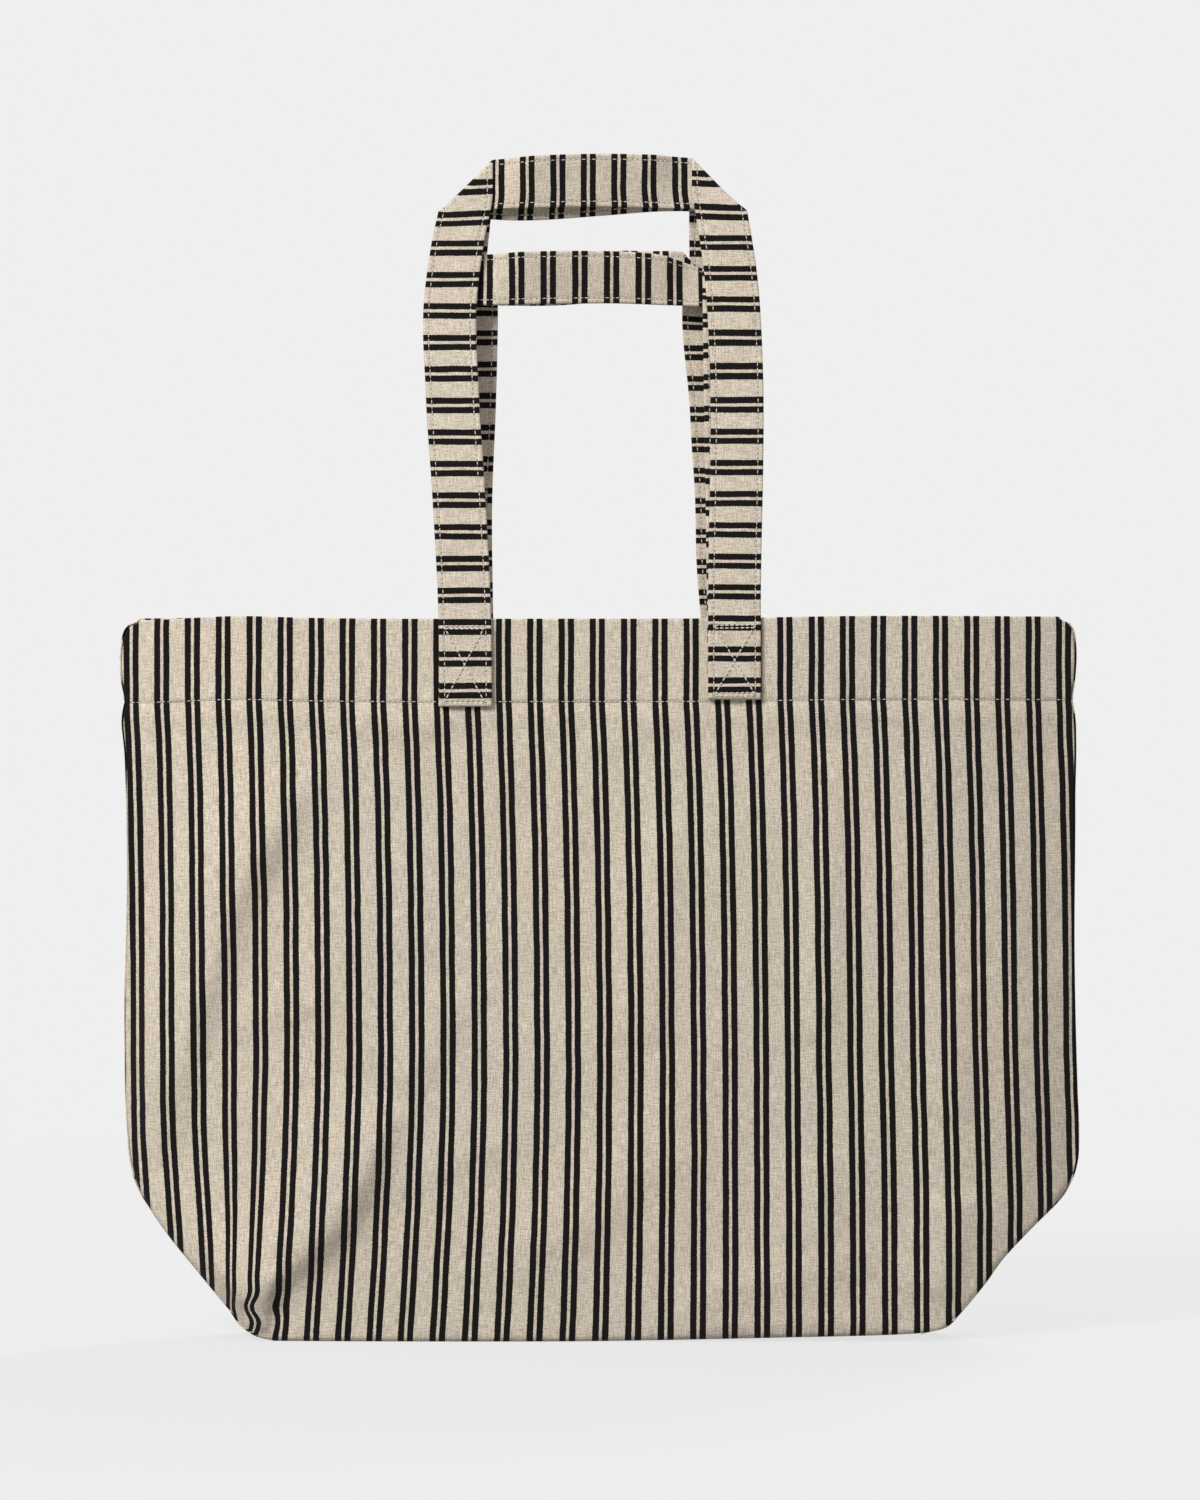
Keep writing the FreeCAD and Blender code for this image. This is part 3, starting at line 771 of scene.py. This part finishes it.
class Strap:
    """A flat tube of cloth, folded twice at 45 degrees, as a map from the strap to the row frame."""

    def __init__(self, name, side, layer, left, right, crown, left_bow, right_bow, sag, width, pairs):
        self.name, self.side, self.layer = name, side, layer
        self.left, self.right, self.crown = left, right, crown
        self.left_bow, self.right_bow = left_bow, right_bow
        self.sag, self.width, self.pairs = sag, width, pairs
        self.first_fold = crown - FOLD_SHIFT
        self.second_fold = self.first_fold + right - left
        self.start = FEET["left"][1]
        self.end = self.first_fold + 2 * FOLD_SHIFT + self.second_fold - FEET["right"][1]
        self.sewn = (self.start + 2.5, self.end - 2.5)
        self.seed = 60 + 10 * layer + side

    @staticmethod
    def fold(a, b, n, a0, b0, sign):
        """Folds what lies beyond a 45 degree crease through (a0, b0) over to the inner side."""
        d = ((b - b0) - sign * (a - a0)) / math.sqrt(2)
        direction = np.array([-sign, 1.0]) / math.sqrt(2)
        angle = np.clip(d / FOLD_RADIUS, 0, math.pi)
        past = np.clip(d - math.pi * FOLD_RADIUS, 0, None)
        reach = (FOLD_RADIUS - n) * np.sin(angle) - past
        shift = np.where(d > 0, reach - d, 0.0)
        depth = np.where(d > 0, FOLD_RADIUS - (FOLD_RADIUS - n) * np.cos(angle), n)
        return a + shift * direction[0], b + shift * direction[1], depth

    def flat(self, s, w, n):
        """Where the strap lies as seen from the front, and how far inward of its legs."""
        a, b, depth = self.fold(w + self.left, s, n, self.left, self.second_fold, -1)
        return self.fold(a, b, depth, self.left, self.first_fold, 1)

    def place(self, s, w, n):
        """Row frame position; n is inward from the middle of the strap's thickness."""
        x, z, inward = self.flat(s, w, n)
        low = self.crown - STRAP_WIDTH / 2
        at_crown = smooth((z - low + 26) / 24)
        z = z + at_crown * (np.clip(z - low, 0, None) * (through(self.width, x) - 1) + through(self.sag, x))
        across = smooth((x - self.left) / (self.right - self.left))
        x = x + (1 - across) * through(self.left_bow, z) + across * through(self.right_bow, z)
        up = z - HINGE[2]
        plane = abs(HINGE[1]) - LEAN * np.clip(up, 0, None)
        on_wall = wall_depth(self.side, x, np.minimum(z, RIM - 1)) + 2 * STRAP + 0.1
        outer = on_wall + (plane - on_wall) * smooth((z - RIM + 6) / 12)
        gap = 0.6 * smooth(up / 30)
        stack = STRAP / 2 + self.layer * (STRAP + gap)
        free = smooth(up / 60)
        wave = 0.9 * value_noise(x, z, 55, 48, self.seed) + 0.35 * value_noise(x, z, 17, 19, self.seed + 1)
        between = smooth((x - self.left - 20) / 25) * smooth((self.right - 20 - x) / 25)
        tilt = at_crown * between * BAND_TILT * np.clip(z - low, 0, STRAP_WIDTH)
        depth = outer - stack - inward + tilt + wave * free * (1.0 if self.layer == 0 else 0.8)
        return np.stack([x, self.side * depth, z], -1)

    def stripes(self, s):
        """The cloth's place across its stripes, at a distance along the strap."""
        distances, counts = zip(*self.pairs)
        return np.interp(s, distances, counts) * STRIPE_PERIOD

    def rows(self):
        """Places along the strap and the slant of each row, 45 degrees at the folds."""
        fine = []
        for crease in (self.first_fold, self.second_fold):
            middle = crease + FOLD_SHIFT
            fine += list(np.arange(middle - 7, middle + 7, 0.45))
        for reach in (0.3, 0.7, 1.2, 2.0, 3.0, 5.0, 7.5, 9.0, 10.5):
            fine += [self.start + reach, self.end - reach]
        along = spaced(self.start, self.end, 2.6, fine)
        slant = np.zeros_like(along)
        for crease, sign in ((self.first_fold, 1), (self.second_fold, -1)):
            away = np.abs(along - crease - FOLD_SHIFT)
            slant += sign * (1 - smooth((away - 8) / 44))
        return along, slant


GROOVE_THICKNESS = 0.62      # middle of the strap's thickness to the sewn grooves
# Half of the strap's section: distance from its middle and half thickness there.
SECTION = [(0, 1.02), (3, 1.02), (6, 1.0), (9, 0.98), (11.4, 0.95), (12.6, 0.84), (13.4, 0.55),
           (14.2, 0.84), (15.2, 1.0), (16.1, 0.92), (16.7, 0.6), (17.0, 0.0)]


def strap_object(strap):
    """The strap's cloth: its section swept along it, thicker where the ends are tucked in."""
    half = np.array(SECTION)
    out_w = np.concatenate([-half[::-1, 0], half[1:, 0]])
    out_t = np.concatenate([half[::-1, 1], half[1:, 1]])
    ring_w = np.concatenate([out_w, out_w[-2:0:-1]])
    ring_n = np.concatenate([-out_t, out_t[-2:0:-1]])
    along, slant = strap.rows()
    s = along[:, None] + slant[:, None] * ring_w[None, :]
    w = np.broadcast_to(ring_w, s.shape)
    from_end = np.minimum(along - strap.start, strap.end - along)
    tip = np.sqrt(np.clip(from_end / 1.2, 0, 1))
    tuck = 1 + 0.28 * smooth((10.5 - from_end) / 2.5)
    n = np.broadcast_to(ring_n, s.shape) * (tip * tuck)[:, None]
    points = strap.place(s, w, n)
    uv = np.stack([strap.stripes(s), w + 300 * strap.layer + 900 * (strap.side + 1)], -1)
    first, last = strap.sewn
    count = int((last - first) / STITCH_PITCH)
    near = np.clip(1 - np.abs(np.abs(w) - EDGE_STITCH) / 0.8, 0, 1)
    needle = np.stack([(s - first) / (last - first) * count, near], -1)
    faces = grid_faces(len(along), len(ring_w), ring=True, flip=strap.side == BACK)
    return object_from(strap.name + "_strap_cloth", points.reshape(-1, 3), faces, uv, needle)


def strap_thread(strap):
    """Edge stitches on both faces of the strap, along its whole length."""
    first, last = strap.sewn
    lines = [(first, w, last, w) for w in (-EDGE_STITCH, EDGE_STITCH)]

    def on_outer(s, w, proud):
        return strap.place(s, w, -GROOVE_THICKNESS - proud)

    def on_inner(s, w, proud):
        return strap.place(s, w, GROOVE_THICKNESS + proud)

    outer = stitch_rows("outer", on_outer, lines, seed=strap.seed)
    inner = stitch_rows("inner", on_inner, lines, seed=strap.seed + 1)
    with bpy.context.temp_override(active_object=outer, selected_editable_objects=[outer, inner]):
        bpy.ops.object.join()
    outer.name = strap.name + "_strap_thread"
    return outer


BEND_FROM, BEND_TO = RIM - 6.0, RIM + 13.0    # a stretch of strap from just below the rim to above it
for strap_name, facts in STRAPS.items():
    strap = Strap(strap_name, **facts)
    cloth = strap_object(strap)
    threads = strap_thread(strap)
    feet = [strap_name + "_" + end + "_foot" for end in FEET]
    finish_piece(cloth, strap_canvas, [strap_name + "_strap"] + feet, body=None)
    finish_piece(threads, thread, [strap_name + "_edge_stitching"], body=None)
    y = strap.side * abs(HINGE[1]) * MM
    bend_low, bend_high = (0, y, BEND_FROM * MM), (0, y, BEND_TO * MM)
    for piece in (cloth, threads):
        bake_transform(piece)
        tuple(bend_low)
        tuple(bend_high)


# ---- box stitches over the feet -----------------------------------------------------
FOOT_LAYERS = 2 * STRAP + 0.4    # the wall's face to the outer face of both sewn straps
BOX_THREAD_RADIUS = 0.46


def box_rows(x, low):
    """A box with a cross, and a second row along its top and bottom."""
    left, right = x - EDGE_STITCH, x + EDGE_STITCH
    bottom, top = low + 3.6, RIM - 3.5
    return [
        (left, bottom, right, bottom), (left, bottom + 1.7, right, bottom + 1.7),
        (left, top, right, top), (left, top - 1.8, right, top - 1.8),
        (left, bottom, right, top), (right, bottom, left, top),
    ]


for side_name, side in SIDES.items():
    for x_name, (x, low) in FEET.items():
        foot = side_name + "_" + x_name
        box = stitch_rows(foot + "_box_thread", over_wall(side, FOOT_LAYERS), box_rows(x, low),
                          radius=BOX_THREAD_RADIUS, seed=9 + side)
        finish_piece(box, thread, [foot + "_box_stitch"])


# ---- seams inside -------------------------------------------------------------------
SEAM_ALLOWANCE = 10.0
SEAM_THICKNESS = 1.7         # both raw edges together


def seam_strip(name, line, toward, node):
    """A seam's two raw edges as a wavy strip along a line, standing toward one direction."""
    line = np.array(line, float)
    count = max(2, int(np.linalg.norm(line[-1] - line[0]) / 4))
    t = np.linspace(0, len(line) - 1, count)
    path = np.stack([through(list(zip(range(len(line)), line[:, k])), t) for k in range(3)], -1)
    across = np.linspace(0, 1, 5)
    toward = np.array(toward, float)
    length = np.concatenate([[0], np.cumsum(np.linalg.norm(np.diff(path, axis=0), axis=1))])
    wave = 0.5 * value_noise(length[:, None], across[None, :] * SEAM_ALLOWANCE, 14, 9, seed=77)
    side_way = np.cross(path[-1] - path[0], toward)
    side_way /= np.linalg.norm(side_way)
    rise = toward * SEAM_ALLOWANCE * across[None, :, None]
    points = path[:, None] + rise + side_way * (wave * across)[..., None]
    uv = np.stack(np.broadcast_arrays(across * SEAM_ALLOWANCE, length[:, None]), -1)
    made = thicken(grid_object(name, points, uv), SEAM_THICKNESS)
    finish_piece(made, body_canvas, [node])


for x_name, x_side in ENDS.items():
    seam_x = x_side * (HALF_WIDTH - 3.0)
    seam_strip(x_name + "_side_seam_cloth", [(seam_x, 0, CORNER_RISE + 6), (seam_x, 0, RIM - FACING - 2)],
               (-x_side, 0, 0), x_name + "_side_seam")
    end_x = BASE_ENDS[x_side] - 2 * x_side
    depth, height = base_line(0.12)
    seam_strip(x_name + "_corner_seam_cloth",
               [(end_x, -depth, height + 2), (end_x, 0, RIDGE + 2), (end_x, depth, height + 2)],
               (-x_side * 0.6, 0, 0.8), x_name + "_corner_seam")
base_seam_line = [(BASE_ENDS[side] - 10 * side, 0, RIDGE + 1) for side in (-1, 1)]
seam_strip("base_seam_cloth", base_seam_line, (0, 0, 1), "base_seam")


# ---- stage, light and camera --------------------------------------------------------
# Lengths here are in metres.
PAPER = 0.863                # linear value of the pale grey paper behind the bag
FLOOR_GLOW = 0.816           # the floor's own light, which hides its join with the paper
FLOOR_COLOUR = 0.84
FLOOR_SHADOWS = 0.12         # share of the floor that takes light and shadow
FLOOR_RADIUS = 2.2
FLOOR_FADE = (0.8, 1.9)      # where the floor begins and ends melting into the paper
FROM_BELOW, FROM_ABOVE = 0.22, 0.62    # strength of the studio's all-round light
LIGHT_SIZE = 1.1
LIGHT_TARGET = (0, 0, 0.35)
CAMERA_HEIGHT = 0.3842
FRONT_PLANE = 0.025          # middle plane to the front's cloth
VIEW_DISTANCE = 3.25         # camera to that cloth
FRAME_HEIGHT = 0.975         # what the long side of the frame shows there
SENSOR = 36.0                # camera sensor's long side, millimetres


def grey(value):
    return (value, value, value, 1)


def floor():
    """A round sheet of pale paper that takes a faint shadow and melts into the background."""
    corners = 48
    mesh = bpy.data.meshes.new("floor")
    angles = np.arange(corners) / corners * 2 * math.pi
    points = [(FLOOR_RADIUS * math.cos(a), FLOOR_RADIUS * math.sin(a), 0) for a in angles]
    mesh.from_pydata(points, [], [list(range(corners))])
    made = bpy.data.objects.new("floor", mesh)
    bpy.context.scene.collection.objects.link(made)
    n = Nodes("PalePaper")
    nodes, links = n.tree.nodes, n.tree.links
    nodes.remove(n.shader)
    glow = n.add("ShaderNodeEmission")
    glow.inputs["Color"].default_value = grey(FLOOR_GLOW)
    matt = n.add("ShaderNodeBsdfDiffuse")
    matt.inputs["Color"].default_value = grey(FLOOR_COLOUR)
    paper = n.add("ShaderNodeMixShader")
    paper.inputs[0].default_value = FLOOR_SHADOWS
    links.new(glow.outputs[0], paper.inputs[1])
    links.new(matt.outputs[0], paper.inputs[2])
    place = n.add("ShaderNodeTexCoord").outputs["Object"]
    far = n.add("ShaderNodeVectorMath", operation="LENGTH")
    n.feed(far.inputs[0], place)
    fade = n.ramp(far.outputs["Value"], *FLOOR_FADE)
    whole = n.add("ShaderNodeMixShader")
    n.feed(whole.inputs[0], fade)
    links.new(paper.outputs[0], whole.inputs[1])
    links.new(n.add("ShaderNodeBsdfTransparent").outputs[0], whole.inputs[2])
    links.new(whole.outputs[0], nodes["Material Output"].inputs["Surface"])
    mesh.materials.append(n.material)
    made.visible_diffuse = False


def area_light(name, location, power):
    data = bpy.data.lights.new(name, "AREA")
    data.shape = "SQUARE"
    data.size = LIGHT_SIZE
    data.energy = power
    made = bpy.data.objects.new(name, data)
    made.location = location
    away = Vector(location) - Vector(LIGHT_TARGET)
    made.rotation_euler = away.to_track_quat("Z", "Y").to_euler()
    bpy.context.scene.collection.objects.link(made)


def world():
    """Pale paper to the camera, and a soft light that is stronger from above to the bag."""
    made = bpy.data.worlds.new("studio")
    made.use_nodes = True
    nodes, links = made.node_tree.nodes, made.node_tree.links
    seen = nodes["Background"]
    seen.inputs["Color"].default_value = grey(PAPER)
    lighting = nodes.new("ShaderNodeBackground")
    lighting.inputs["Color"].default_value = (0.97, 0.985, 1.0, 1)
    direction = nodes.new("ShaderNodeTexCoord")
    height = nodes.new("ShaderNodeSeparateXYZ")
    from_above = nodes.new("ShaderNodeMapRange")
    for socket, value in zip(from_above.inputs[1:5], (-1.0, 1.0, FROM_BELOW, FROM_ABOVE)):
        socket.default_value = value
    links.new(direction.outputs["Generated"], height.inputs[0])
    links.new(height.outputs["Z"], from_above.inputs[0])
    links.new(from_above.outputs[0], lighting.inputs["Strength"])
    path = nodes.new("ShaderNodeLightPath")
    choose = nodes.new("ShaderNodeMixShader")
    links.new(path.outputs["Is Camera Ray"], choose.inputs[0])
    links.new(lighting.outputs[0], choose.inputs[1])
    links.new(seen.outputs[0], choose.inputs[2])
    links.new(choose.outputs[0], nodes["World Output"].inputs["Surface"])
    bpy.context.scene.world = made


def camera():
    data = bpy.data.cameras.new("camera")
    data.sensor_width = SENSOR
    data.lens = SENSOR * VIEW_DISTANCE / FRAME_HEIGHT
    made = bpy.data.objects.new("camera", data)
    made.location = (0.0, -VIEW_DISTANCE - FRONT_PLANE, CAMERA_HEIGHT)
    made.rotation_euler = (math.pi / 2, 0, 0)
    bpy.context.scene.collection.objects.link(made)
    bpy.context.scene.camera = made


floor()
world()
area_light("key", (-1.65, -2.6, 2.5), 114)
area_light("back_key", (1.65, 2.6, 2.5), 96)
camera()
bpy.context.scene.view_settings.view_transform = "Standard"
